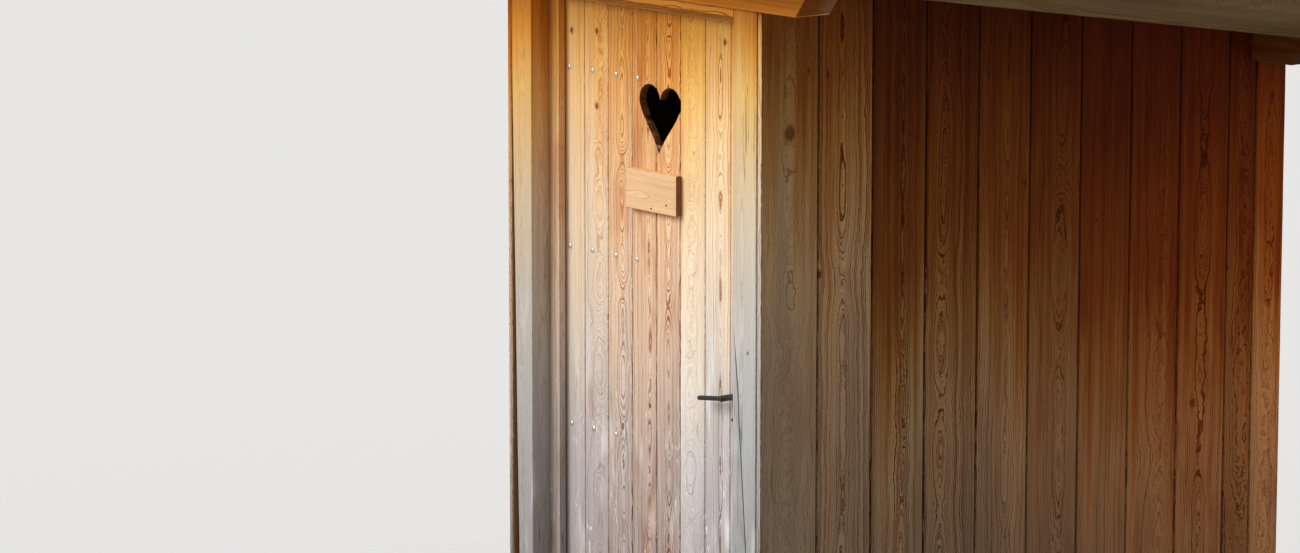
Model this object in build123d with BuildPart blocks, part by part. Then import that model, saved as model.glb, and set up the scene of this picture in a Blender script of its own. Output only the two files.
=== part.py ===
"""A small board-clad outhouse with a mono-pitch roof and one plank door, in millimetres.

X runs to the right of someone who faces the door, Y into the building, Z up from the ground.
"""
import os
from math import cos, radians, sin, sqrt, tan

from build123d import *

# Cabin
width = 1010            # outside of the left cladding to outside of the right cladding
depth = 1830            # front face to back face
cladding = 19
cladding_foot = 40      # the boards end above the ground
sill = 100
floor_board = 24
post_depth = 103
post_left_width = 83.5
post_right_width = 88
post_back_width = 87
taper_foot = 32         # the left front post has lost this much of its outer side at the foot
taper_top_drop = 55     # and is whole from this far below the door head up
rail_thick = 40
rail_height = 80
rail_hinges = (3, 2)    # each rail lies above the plate of one hinge, counted down from 0
rail_gaps = (87, 211.5)

# Door frame
door_head = 2025        # lower edge of the stop over the leaf
stop_setback = 57       # front face to the face of the stops
stop_thick = 19
stop_width = 42.5
rebate_width = 19.5
lintel_lip = 25          # the stop shows this much below the lintel
lintel_height = 48
head_rebate = 20
threshold_setback = 20
threshold_height = 42

# Door leaf
leaf_thick = 24
leaf_gap = 5.7          # beside the leaf
stop_gap = 5            # between the leaf and its stops, and over the leaf
floor_gap = 6
ledge_thick = 28
ledge_height = 100
ledge_inset_hinge = 41
ledge_inset_lock = 38
ledge_top_drop = 65     # middles of the ledges, below the door head
ledge_heart_drop = 435
ledge_lock_drop = 845
ledge_low_drop = 1345
ledge_foot_drop = 1815

# Heart cut through the leaf
heart_x = 17
heart_drop = 234        # centres of the lobes, below the door head
heart_lean = 1.8        # degrees, the tip to the left
lobe_radius = 41
lobe_offset = 40.6
lobe_end = 25           # degrees, where each lobe runs into its side
side_pull = 45          # how far the side keeps the lobe's direction
tip_pull = 50           # and the tip's
tip_lean = 23.6         # degrees, each side from plumb at the tip
heart_tip_drop = 134    # below the centres of the lobes

# Name board, left blank
sign_width = 200
sign_height = 104
sign_thick = 18
sign_x = 3
sign_drop = 462.5

# Hinges
hinge_top_drop = 181.5  # below the door head
hinge_spacing = 465.5
hinge_names = ("top", "upper", "lower", "bottom")
strap_height = 44
strap_tip_height = 26
strap_thick = 5
strap_reach = 341       # from the pin
barrel_radius = 9
pin_radius = 6
pin_clearance = 0.08
pin_offset = 14.2       # from the hinge edge of the leaf
pin_rise = 3            # above the barrel
plate_width = 52
plate_height = 110
plate_gap = 1.5         # from the inner edge of the post
arm_height = 12
arm_reach = 30
seat_gap = 1            # under the barrel

# Lock and levers
spindle_inset = 71      # from the lock edge of the leaf
spindle_drop = 946
spindle_radius = 5
lever_length = 86
lever_height = 11
lever_thick = 10
lever_round = 3
lever_droop = 7         # degrees
lever_stand = 40        # from the leaf or lock to the far face of the lever
neck_radius = 8
neck_gap = 0.3          # between a lever's neck and the leaf or lock
spindle_gap = 0.3       # around the spindle
key_drop = 59           # keyhole below the spindle
key_radius = 4.5
case_width = 80
case_height = 130
case_thick = 20
case_inset = 4
case_above = 35         # above the spindle
keep_width = 50
keep_height = 80
keep_gap = 2.5
keep_thick = 22
keep_above = 20

# Roof
roof_pitch = 8.7        # degrees, falling to the back
beam_thick = 112
beam_height = 140
beam_proud = 15         # in front of the posts
side_overhang = 200     # beam ends beyond the walls
bevel_width = 60
bevel_height = 80
eave_overhang = 260
rafter_width = 45
rafter_depth = 80
rafter_count = 4
roof_board = 22
cover_board = 22
cover_drip = 15         # past the eaves boards
cover_side_drip = 6     # past the barge boards
cover_strip = 120
cover_strips = 9
barge_thick = 24
barge_drop = 62         # below the underside of the rafters
fascia_thick = 24
fascia_drop = 30

# Places that follow from the sizes
x_out = width / 2
x_in = x_out - cladding
y_front = -depth / 2
y_back = depth / 2
y_back_in = y_back - cladding
floor_top = sill + floor_board
post_left_edge = -x_in + post_left_width
post_right_edge = x_in - post_right_width
y_post = y_front + post_depth
y_back_post = y_back_in - post_depth
y_stop = y_front + stop_setback
y_rebate = y_stop + stop_thick
y_leaf = y_rebate + stop_gap
y_leaf_in = y_leaf + leaf_thick
rebate_left = post_left_edge + rebate_width
rebate_right = post_right_edge - rebate_width
stop_left = post_left_edge + stop_width
stop_right = post_right_edge - stop_width
leaf_left = rebate_left + leaf_gap
leaf_right = rebate_right - leaf_gap
leaf_foot = floor_top + floor_gap
leaf_top = door_head + head_rebate - stop_gap
pin_x = leaf_left - pin_offset
pin_y = y_leaf_in + barrel_radius
spindle_x = leaf_right - spindle_inset
spindle_z = door_head - spindle_drop
bore_radius = spindle_radius + spindle_gap
beam_front_foot = door_head + lintel_height
y_beam = y_front - beam_proud
x_verge = x_out + side_overhang
y_eave = y_back + eave_overhang
slope = tan(radians(roof_pitch))
rafter_span = 2 * x_in - rafter_width
plate_below = strap_height / 2 + seat_gap + arm_height / 2


def roof_line(y, above):
    """Height at y of a plane that lies this far above the underside of the rafters."""
    return beam_front_foot + beam_height - (y - y_beam) * slope + above / cos(radians(roof_pitch))


y_beam_back = y_back_in - beam_thick
beam_back_foot = roof_line(y_beam_back, 0) - beam_height
roof_board_top = rafter_depth + roof_board
cover_top = roof_board_top + 2 * cover_board


def hinge_level(step):
    """Height of the middle of a hinge strap, counted down from 0."""
    return door_head - hinge_top_drop - step * hinge_spacing


def keep(piece, name):
    piece.part.label = name
    export_step(piece.part, f"parts/{name}.step")


def timber(x_low, x_high, y_low, y_high, z_low, z_high):
    """A square-edged piece of timber between two corners."""
    with BuildPart() as piece:
        with BuildSketch(Plane.XY.offset(z_low)):
            with Locations(((x_low + x_high) / 2, (y_low + y_high) / 2)):
                Rectangle(x_high - x_low, y_high - y_low)
        extrude(amount=z_high - z_low)
    return piece


def from_side(x_low, x_high, corners):
    """A piece with one outline, seen from the side, all the way across."""
    with BuildPart() as piece:
        with BuildSketch(Plane.YZ.offset(x_low)):
            with BuildLine():
                Polyline(*corners, close=True)
            make_face()
        extrude(amount=x_high - x_low)
    return piece


def from_above(z_low, z_high, corners):
    """A piece with one outline, seen from above, all the way up."""
    with BuildPart() as piece:
        with BuildSketch(Plane.XY.offset(z_low)):
            with BuildLine():
                Polyline(*corners, close=True)
            make_face()
        extrude(amount=z_high - z_low)
    return piece


def roof_outline(y_low, y_high, low, high):
    """Side outline of a layer of the roof, with plumb ends."""
    return [
        (y_low, roof_line(y_low, low)),
        (y_high, roof_line(y_high, low)),
        (y_high, roof_line(y_high, high)),
        (y_low, roof_line(y_low, high)),
    ]


def front_plane(x, y, z):
    """A drawing plane that faces the viewer in front of the door."""
    return Plane(origin=(x, y, z), x_dir=(1, 0, 0), z_dir=(0, -1, 0))


os.makedirs("parts", exist_ok=True)

# Base frame and floor
keep(timber(-x_in, -x_in + sill, y_front, y_back_in, 0, sill), "sill_left")
keep(timber(x_in - sill, x_in, y_front, y_back_in, 0, sill), "sill_right")
keep(timber(-x_in + sill, x_in - sill, y_front, y_front + sill, 0, sill), "sill_front")
keep(timber(-x_in + sill, x_in - sill, y_back_in - sill, y_back_in, 0, sill), "sill_back")
floor_corners = [
    (rebate_left, y_rebate),
    (rebate_right, y_rebate),
    (rebate_right, y_post),
    (x_in, y_post),
    (x_in, y_back_post),
    (x_in - post_back_width, y_back_post),
    (x_in - post_back_width, y_back_in),
    (-x_in + post_back_width, y_back_in),
    (-x_in + post_back_width, y_back_post),
    (-x_in, y_back_post),
    (-x_in, y_post),
    (rebate_left, y_post),
]
keep(from_above(sill, floor_top, floor_corners), "floor")

# Posts
with BuildPart() as post_front_left:
    with BuildSketch(front_plane(0, y_post, 0)):
        with BuildLine():
            Polyline(
                (-x_in + taper_foot, sill),
                (post_left_edge, sill),
                (post_left_edge, beam_front_foot),
                (-x_in, beam_front_foot),
                (-x_in, door_head - taper_top_drop),
                close=True,
            )
        make_face()
    extrude(amount=post_depth)
keep(post_front_left, "post_front_left")
keep(timber(post_right_edge, x_in, y_front, y_post, sill, beam_front_foot), "post_front_right")
keep(
    timber(-x_in, -x_in + post_back_width, y_back_post, y_back_in, sill, beam_back_foot),
    "post_back_left",
)
keep(
    timber(x_in - post_back_width, x_in, y_back_post, y_back_in, sill, beam_back_foot),
    "post_back_right",
)

# Beams under the roof, with bevelled ends
for name, y_low, foot in (
    ("beam_front", y_beam, beam_front_foot),
    ("beam_back", y_beam_back, beam_back_foot),
):
    y_high = y_low + beam_thick
    with BuildPart() as beam:
        with BuildSketch(Plane.YZ.offset(-x_verge)):
            with BuildLine():
                Polyline(
                    (y_low, foot),
                    (y_high, foot),
                    (y_high, roof_line(y_high, 0)),
                    (y_low, roof_line(y_low, 0)),
                    close=True,
                )
            make_face()
        extrude(amount=2 * x_verge)
        for side in (-1, 1):
            with BuildSketch(front_plane(0, y_high, foot)):
                with BuildLine():
                    Polyline(
                        (side * x_verge, 0),
                        (side * (x_verge - bevel_width), 0),
                        (side * x_verge, bevel_height),
                        close=True,
                    )
                make_face()
            extrude(amount=beam_thick, mode=Mode.SUBTRACT)
    keep(beam, name)

# Cladding; the beams pass through the side walls
for name, x_low in (("wall_left", -x_out), ("wall_right", x_in)):
    with BuildPart() as wall:
        with BuildSketch(Plane.YZ.offset(x_low)):
            with BuildLine():
                Polyline(
                    (y_front, cladding_foot),
                    (y_back, cladding_foot),
                    (y_back, roof_line(y_back, rafter_depth)),
                    (y_front, roof_line(y_front, rafter_depth)),
                    close=True,
                )
            make_face()
            for y_low, foot in ((y_beam, beam_front_foot), (y_beam_back, beam_back_foot)):
                y_high = y_low + beam_thick
                with BuildLine():
                    Polyline(
                        (y_low, foot),
                        (y_high, foot),
                        (y_high, roof_line(y_high, 0)),
                        (y_low, roof_line(y_low, 0)),
                        close=True,
                    )
                make_face(mode=Mode.SUBTRACT)
        extrude(amount=cladding)
    keep(wall, name)
keep(
    from_side(
        -x_in,
        x_in,
        [
            (y_back_in, cladding_foot),
            (y_back, cladding_foot),
            (y_back, roof_line(y_back, 0)),
            (y_back_in, roof_line(y_back_in, 0)),
        ],
    ),
    "wall_back",
)

# Rails that the cladding is nailed to
for name, x_low, x_high, y_low, y_high in (
    ("rail_left", -x_in, -x_in + rail_thick, y_post, y_back_post),
    ("rail_right", x_in - rail_thick, x_in, y_post, y_back_post),
    ("rail_back", -x_in + post_back_width, x_in - post_back_width, y_back_in - rail_thick, y_back_in),
):
    with BuildPart() as rails:
        for hinge, gap in zip(rail_hinges, rail_gaps):
            plate_top = hinge_level(hinge) - plate_below + plate_height / 2
            with BuildSketch(Plane.XY.offset(plate_top + gap)):
                with Locations(((x_low + x_high) / 2, (y_low + y_high) / 2)):
                    Rectangle(x_high - x_low, y_high - y_low)
            extrude(amount=rail_height)
    keep(rails, name)

# Door frame
for name, edge, rebate, stop in (
    ("jamb_left", post_left_edge, rebate_left, stop_left),
    ("jamb_right", post_right_edge, rebate_right, stop_right),
):
    jamb_corners = [
        (edge, y_stop),
        (stop, y_stop),
        (stop, y_rebate),
        (rebate, y_rebate),
        (rebate, y_post),
        (edge, y_post),
    ]
    keep(from_above(sill, door_head, jamb_corners), name)
lintel_corners = [
    (y_front, door_head + lintel_lip),
    (y_stop, door_head + lintel_lip),
    (y_stop, door_head),
    (y_rebate, door_head),
    (y_rebate, door_head + head_rebate),
    (y_post, door_head + head_rebate),
    (y_post, beam_front_foot),
    (y_front, beam_front_foot),
]
keep(from_side(post_left_edge, post_right_edge, lintel_corners), "lintel")
keep(
    timber(
        stop_left, stop_right, y_front + threshold_setback, y_rebate, sill, sill + threshold_height
    ),
    "threshold",
)

# Roof
with BuildPart() as rafters:
    for step in range(rafter_count):
        middle = -rafter_span / 2 + step * rafter_span / (rafter_count - 1)
        with BuildSketch(Plane.YZ.offset(middle - rafter_width / 2)):
            with BuildLine():
                Polyline(
                    *roof_outline(-y_eave + fascia_thick, y_eave - fascia_thick, 0, rafter_depth),
                    close=True,
                )
            make_face()
        extrude(amount=rafter_width)
keep(rafters, "rafters")

with BuildPart() as eave_blocks:
    for step in range(rafter_count - 1):
        x_low = -rafter_span / 2 + step * rafter_span / (rafter_count - 1) + rafter_width / 2
        for y_low in (y_beam, y_beam_back):
            with BuildSketch(Plane.YZ.offset(x_low)):
                with BuildLine():
                    Polyline(*roof_outline(y_low, y_low + beam_thick, 0, rafter_depth), close=True)
                make_face()
            extrude(amount=rafter_span / (rafter_count - 1) - rafter_width)
keep(eave_blocks, "eave_blocks")

keep(
    from_side(-x_verge, x_verge, roof_outline(-y_eave, y_eave, rafter_depth, roof_board_top)),
    "roof_boards",
)

x_cover = x_verge + barge_thick + cover_side_drip
cover_middle = roof_board_top + cover_board
with BuildPart() as roof_cover:
    with BuildSketch(Plane.YZ.offset(-x_cover)):
        with BuildLine():
            Polyline(
                *roof_outline(-y_eave - cover_drip, y_eave + cover_drip, roof_board_top, cover_middle),
                close=True,
            )
        make_face()
    extrude(amount=2 * x_cover)
    for step in range(cover_strips):
        x_low = -x_cover + step * (2 * x_cover - cover_strip) / (cover_strips - 1)
        with BuildSketch(Plane.YZ.offset(x_low)):
            with BuildLine():
                Polyline(
                    *roof_outline(-y_eave - cover_drip, y_eave + cover_drip, cover_middle, cover_top),
                    close=True,
                )
            make_face()
        extrude(amount=cover_strip)
keep(roof_cover, "roof_cover")

for name, x_low in (("barge_board_left", -x_verge - barge_thick), ("barge_board_right", x_verge)):
    keep(
        from_side(x_low, x_low + barge_thick, roof_outline(-y_eave, y_eave, -barge_drop, roof_board_top)),
        name,
    )
for name, y_low in (("fascia_front", -y_eave), ("fascia_back", y_eave - fascia_thick)):
    keep(
        from_side(
            -x_verge, x_verge, roof_outline(y_low, y_low + fascia_thick, -fascia_drop, rafter_depth)
        ),
        name,
    )

# Door leaf
notch_height = sqrt(lobe_radius**2 - lobe_offset**2)
lobe_stop = radians(lobe_end)
lean = radians(heart_lean)
side_x = lobe_offset + lobe_radius * cos(lobe_stop)
side_z = -lobe_radius * sin(lobe_stop)
heart_plane = Plane(
    origin=(heart_x, y_leaf_in, door_head - heart_drop),
    x_dir=(cos(lean), 0, -sin(lean)),
    z_dir=(0, -1, 0),
)
with BuildPart() as door_planks:
    with BuildSketch(front_plane((leaf_left + leaf_right) / 2, y_leaf_in, (leaf_foot + leaf_top) / 2)):
        Rectangle(leaf_right - leaf_left, leaf_top - leaf_foot)
    extrude(amount=leaf_thick)
    with BuildSketch(heart_plane):
        with BuildLine():
            ThreePointArc((0, notch_height), (lobe_offset, lobe_radius), (side_x, side_z))
            Bezier(
                (side_x, side_z),
                (side_x - side_pull * sin(lobe_stop), side_z - side_pull * cos(lobe_stop)),
                (
                    tip_pull * sin(radians(tip_lean)),
                    tip_pull * cos(radians(tip_lean)) - heart_tip_drop,
                ),
                (0, -heart_tip_drop),
            )
            mirror(about=Plane.YZ)
        make_face()
    extrude(amount=leaf_thick, mode=Mode.SUBTRACT)
    with BuildSketch(front_plane(spindle_x, y_leaf_in, spindle_z)):
        Circle(bore_radius)
        with Locations((0, -key_drop)):
            Circle(key_radius)
    extrude(amount=leaf_thick, mode=Mode.SUBTRACT)
keep(door_planks, "door_planks")

with BuildPart() as door_ledges:
    for drop in (ledge_top_drop, ledge_heart_drop, ledge_lock_drop, ledge_low_drop, ledge_foot_drop):
        with BuildSketch(Plane.XY.offset(door_head - drop - ledge_height / 2)):
            with Locations(
                (
                    (leaf_left + ledge_inset_hinge + leaf_right - ledge_inset_lock) / 2,
                    y_leaf_in + ledge_thick / 2,
                )
            ):
                Rectangle(
                    leaf_right - ledge_inset_lock - leaf_left - ledge_inset_hinge, ledge_thick
                )
        extrude(amount=ledge_height)
keep(door_ledges, "door_ledges")

with BuildPart() as door_sign:
    with BuildSketch(front_plane(sign_x, y_leaf, door_head - sign_drop)):
        Rectangle(sign_width, sign_height)
    extrude(amount=sign_thick)
keep(door_sign, "door_sign")

# Hinges: a strap with a barrel on the leaf, and a pin on a plate on the post
for step, name in enumerate(hinge_names):
    level = hinge_level(step)
    barrel_foot = level - strap_height / 2
    with BuildPart() as hinge_strap:
        with BuildSketch(front_plane(pin_x, y_leaf_in + strap_thick, level)):
            with BuildLine():
                Polyline(
                    (0, -strap_height / 2),
                    (strap_reach, -strap_tip_height / 2),
                    (strap_reach, strap_tip_height / 2),
                    (0, strap_height / 2),
                    close=True,
                )
            make_face()
        extrude(amount=strap_thick)
        with BuildSketch(Plane.XY.offset(barrel_foot)):
            with Locations((pin_x, pin_y)):
                Circle(barrel_radius)
        extrude(amount=strap_height)
        with BuildSketch(Plane.XY.offset(barrel_foot)):
            with Locations((pin_x, pin_y)):
                Circle(pin_radius + pin_clearance)
        extrude(amount=strap_height, mode=Mode.SUBTRACT)
    keep(hinge_strap, f"hinge_strap_{name}")

    arm_top = barrel_foot - seat_gap
    with BuildPart() as hinge_pin:
        with BuildSketch(
            front_plane(
                post_left_edge - plate_gap - plate_width / 2,
                y_post + strap_thick,
                arm_top - arm_height / 2,
            )
        ):
            Rectangle(plate_width, plate_height)
        extrude(amount=strap_thick)
        with BuildSketch(Plane.XY.offset(arm_top - arm_height)):
            with Locations((pin_x - arm_reach / 2, pin_y)):
                Rectangle(arm_reach, 2 * barrel_radius)
            with Locations((pin_x, pin_y)):
                Circle(barrel_radius)
        extrude(amount=arm_height)
        with BuildSketch(Plane.XY.offset(arm_top)):
            with Locations((pin_x, pin_y)):
                Circle(pin_radius)
        extrude(amount=seat_gap + strap_height + pin_rise)
    keep(hinge_pin, f"hinge_pin_{name}")

# Rim lock on the inside of the leaf, and its keep on the post
case_right = leaf_right - case_inset
with BuildPart() as lock_case:
    with BuildSketch(
        front_plane(
            case_right - case_width / 2,
            y_leaf_in + case_thick,
            spindle_z + case_above - case_height / 2,
        )
    ):
        Rectangle(case_width, case_height)
    extrude(amount=case_thick)
    with BuildSketch(front_plane(spindle_x, y_leaf_in + case_thick, spindle_z)):
        Circle(bore_radius)
        with Locations((0, -key_drop)):
            Circle(key_radius)
    extrude(amount=case_thick, mode=Mode.SUBTRACT)
keep(lock_case, "lock_case")
keep(
    timber(
        rebate_right + keep_gap,
        rebate_right + keep_gap + keep_width,
        y_post,
        y_post + keep_thick,
        spindle_z + keep_above - keep_height,
        spindle_z + keep_above,
    ),
    "lock_keep",
)

# Levers, with the spindle on the inner one
droop = radians(lever_droop)
lever_line = (-cos(droop), 0, -sin(droop))
y_case_in = y_leaf_in + case_thick
with BuildPart() as lever_outside:
    with BuildSketch(
        Plane(
            origin=(spindle_x, y_leaf - lever_stand + lever_thick, spindle_z),
            x_dir=lever_line,
            z_dir=(0, -1, 0),
        )
    ):
        with Locations((lever_length / 2, 0)):
            SlotCenterToCenter(lever_length, lever_height)
        Circle(neck_radius)
    extrude(amount=lever_thick)
    fillet(lever_outside.faces().sort_by(Axis.Y)[0].edges(), radius=lever_round)
    with BuildSketch(front_plane(spindle_x, y_leaf - neck_gap, spindle_z)):
        Circle(neck_radius)
    extrude(amount=lever_stand - neck_gap - lever_thick)
keep(lever_outside, "lever_outside")

with BuildPart() as lever_inside:
    with BuildSketch(
        Plane(
            origin=(spindle_x, y_case_in + lever_stand, spindle_z),
            x_dir=lever_line,
            z_dir=(0, -1, 0),
        )
    ):
        with Locations((lever_length / 2, 0)):
            SlotCenterToCenter(lever_length, lever_height)
        Circle(neck_radius)
    extrude(amount=lever_thick)
    fillet(lever_inside.faces().sort_by(Axis.Y)[-1].edges(), radius=lever_round)
    with BuildSketch(front_plane(spindle_x, y_case_in + lever_stand - lever_thick, spindle_z)):
        Circle(neck_radius)
    extrude(amount=lever_stand - lever_thick - neck_gap)
    with BuildSketch(front_plane(spindle_x, y_case_in + neck_gap, spindle_z)):
        Circle(spindle_radius)
    extrude(amount=neck_gap + case_thick + leaf_thick + neck_gap)
keep(lever_inside, "lever_inside")
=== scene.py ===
import bmesh
import bpy
import random
from math import cos, pi, radians, sin
from mathutils import Matrix, Vector, noise
from types import SimpleNamespace


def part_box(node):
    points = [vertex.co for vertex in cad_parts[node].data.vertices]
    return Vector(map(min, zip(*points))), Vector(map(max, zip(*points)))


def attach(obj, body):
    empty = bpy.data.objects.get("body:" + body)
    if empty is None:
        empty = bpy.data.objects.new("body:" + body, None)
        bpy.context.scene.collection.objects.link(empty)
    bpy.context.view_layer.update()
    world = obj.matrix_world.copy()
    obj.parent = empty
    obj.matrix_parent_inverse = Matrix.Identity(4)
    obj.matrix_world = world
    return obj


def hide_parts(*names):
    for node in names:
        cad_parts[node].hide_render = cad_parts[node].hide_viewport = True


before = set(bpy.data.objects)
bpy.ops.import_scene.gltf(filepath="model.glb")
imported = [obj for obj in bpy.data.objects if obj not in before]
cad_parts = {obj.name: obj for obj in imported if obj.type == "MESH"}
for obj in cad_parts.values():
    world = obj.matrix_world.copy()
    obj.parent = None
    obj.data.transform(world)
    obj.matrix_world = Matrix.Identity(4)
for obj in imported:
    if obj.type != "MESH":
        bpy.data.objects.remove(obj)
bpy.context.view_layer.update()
print("frame loaded")

# Directions: each triple is across the grain, out of the shown face, along the grain
right = Vector((1, 0, 0))
inward = Vector((0, 1, 0))
upward = Vector((0, 0, 1))
roofFall = radians(8.7)
downRoof = Vector((0, cos(roofFall), -sin(roofFall)))
offRoof = Vector((0, sin(roofFall), cos(roofFall)))
frontBoards = (right, -inward, upward)
rightBoards = (inward, right, upward)
leftBoards = (-inward, -right, upward)
backBoards = (-right, inward, upward)
floorBoards = (inward, upward, right)
frontBeams = (upward, -inward, right)
sideBeams = (upward, right, inward)
ledgeBoards = (upward, inward, right)
rafterLine = (offRoof, right, downRoof)
roofLengthwise = (right, offRoof, downRoof)
roofCrosswise = (downRoof, -offRoof, right)


# Shader helpers

def addNode(tree, kind, inputs=None, **settings):
    made = tree.nodes.new(kind)
    for key, value in settings.items():
        setattr(made, key, value)
    for key, value in (inputs or {}).items():
        if isinstance(value, bpy.types.NodeSocket):
            tree.links.new(value, made.inputs[key])
        else:
            made.inputs[key].default_value = value
    return made


def calc(tree, operation, first, second=0.0, third=0.0):
    return addNode(tree, "ShaderNodeMath", {0: first, 1: second, 2: third}, operation=operation).outputs[0]


def plus(tree, first, second):
    return calc(tree, "ADD", first, second)


def minus(tree, first, second):
    return calc(tree, "SUBTRACT", first, second)


def times(tree, first, second):
    return calc(tree, "MULTIPLY", first, second)


def swing(tree, value, reach):
    # a 0 to 1 value becomes a shift to both sides of nought
    return times(tree, minus(tree, value, 0.5), reach)


def length2(tree, first, second):
    return plus(tree, times(tree, first, first), times(tree, second, second))


def scaled(tree, vector, scale):
    return addNode(tree, "ShaderNodeVectorMath", {0: vector, 1: scale}, operation="MULTIPLY").outputs[0]


def split(tree, vector):
    return addNode(tree, "ShaderNodeSeparateXYZ", {0: vector}).outputs[:3]


def mark(tree, name):
    return addNode(tree, "ShaderNodeAttribute", attribute_name=name).outputs["Vector"]


def cloud(tree, vector, scale, detail=2.0, rough=0.55):
    made = addNode(tree, "ShaderNodeTexNoise", {"Vector": scaled(tree, vector, scale), "Scale": 1.0})
    made.inputs["Detail"].default_value = detail
    made.inputs["Roughness"].default_value = rough
    return made.outputs["Fac"]


def ease(tree, value, low, high, lowOut=0.0, highOut=1.0):
    made = addNode(tree, "ShaderNodeMapRange", {0: value, 1: low, 2: high, 3: lowOut, 4: highOut})
    made.interpolation_type = "SMOOTHSTEP"
    return made.outputs[0]


def tinted(tree, amount, first, second, way="MIX"):
    made = addNode(tree, "ShaderNodeMix", {0: amount, 6: first, 7: second}, data_type="RGBA")
    made.blend_type = way
    return made.outputs[2]


def paint(color):
    # a colour as it is seen, 0 to 255, becomes the shader's own
    return tuple(((c / 255 + 0.055) / 1.055) ** 2.4 if c > 10 else c / 255 / 12.92 for c in color) + (1,)


def colorRamp(tree, value, stops):
    ramp = addNode(tree, "ShaderNodeValToRGB", {0: value})
    elements = ramp.color_ramp.elements
    for place, color in stops[2:]:
        elements.new(place)
    for element, (place, color) in zip(elements, stops):
        element.position = place
        element.color = paint(color)
    return ramp.outputs[0]


def washed(tree, amount, color, wash, base=None):
    # where the amount is high, the base shows through a darkening wash
    dark = tinted(tree, 1.0, color if base is None else base, wash, "MULTIPLY")
    return tinted(tree, amount, color, dark)


def seenDirectly(tree):
    rays = addNode(tree, "ShaderNodeLightPath")
    return calc(tree, "MAXIMUM", rays.outputs["Is Camera Ray"], rays.outputs["Is Glossy Ray"])


def newMaterial(name):
    material = bpy.data.materials.new(name)
    material.use_nodes = True
    material.node_tree.nodes.clear()
    return material, material.node_tree


# Wood: growth rings round a pith, sawn through by the board's faces
wallTop = 2.4
wallFront = -0.9128    # just behind the front edges of the side boards


def heightRamp(tree, level, stops):
    # colours by height in metres
    return colorRamp(tree, times(tree, level, 1 / wallTop), [(h / wallTop, color) for h, color in stops])


def boardFields(tree):
    # where a point lies in its own board, and what that board is like
    wood = SimpleNamespace()
    place = mark(tree, "grain")
    wood.x, wood.y, wood.z = split(tree, place)
    wood.seed, wood.halfWidth, wood.halfDepth = split(tree, mark(tree, "board"))
    wood.light, wood.red, wood.grey = split(tree, mark(tree, "tone"))
    seeds = addNode(tree, "ShaderNodeCombineXYZ", {0: wood.seed, 1: wood.seed, 2: wood.seed}).outputs[0]
    shift = scaled(tree, seeds, (1.7, 2.3, 3.1))
    wood.own = addNode(tree, "ShaderNodeVectorMath", {0: place, 1: shift}).outputs[0]
    spot = addNode(tree, "ShaderNodeTexCoord").outputs["Object"]
    wood.towardsBack, wood.height = split(tree, spot)[1:]
    wood.fibre = cloud(tree, wood.own, (560, 560, 7))
    wood.fine = cloud(tree, wood.own, (1500, 1500, 26), 1)
    wood.streak = cloud(tree, wood.own, (46, 46, 0.8), 3, 0.6)
    wood.broad = cloud(tree, wood.own, (11, 11, 0.7))
    wood.crumble = swing(tree, cloud(tree, wood.own, (60, 60, 60)), 0.8)
    return wood


def addKnots(tree, wood):
    # knots push the rings apart
    wood.ringX = wood.x
    wood.core = wood.collar = 0.0
    for knot in ("knotA", "knotB"):
        knotX, knotZ, size = split(tree, mark(tree, knot))
        safe = calc(tree, "MAXIMUM", size, 0.00001)
        awayX = calc(tree, "DIVIDE", minus(tree, wood.x, knotX), safe)
        awayZ = calc(tree, "DIVIDE", minus(tree, wood.z, knotZ), safe)
        near = length2(tree, awayX, times(tree, awayZ, 0.36))
        push = times(tree, calc(tree, "EXPONENT", times(tree, near, -0.34)), 0.93)
        wood.ringX = minus(tree, wood.ringX, times(tree, minus(tree, wood.ringX, knotX), push))
        gap = calc(tree, "SQRT", length2(tree, awayX, times(tree, awayZ, 0.75)))
        gap = plus(tree, gap, wood.crumble)
        wood.core = calc(tree, "MAXIMUM", wood.core, ease(tree, gap, 1.15, 0.75))
        wood.collar = calc(tree, "MAXIMUM", wood.collar, ease(tree, gap, 2.3, 0.9))
    wood.knotTone = ease(tree, calc(tree, "SINE", times(tree, gap, 11.0)), -1.0, 1.0)


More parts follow.
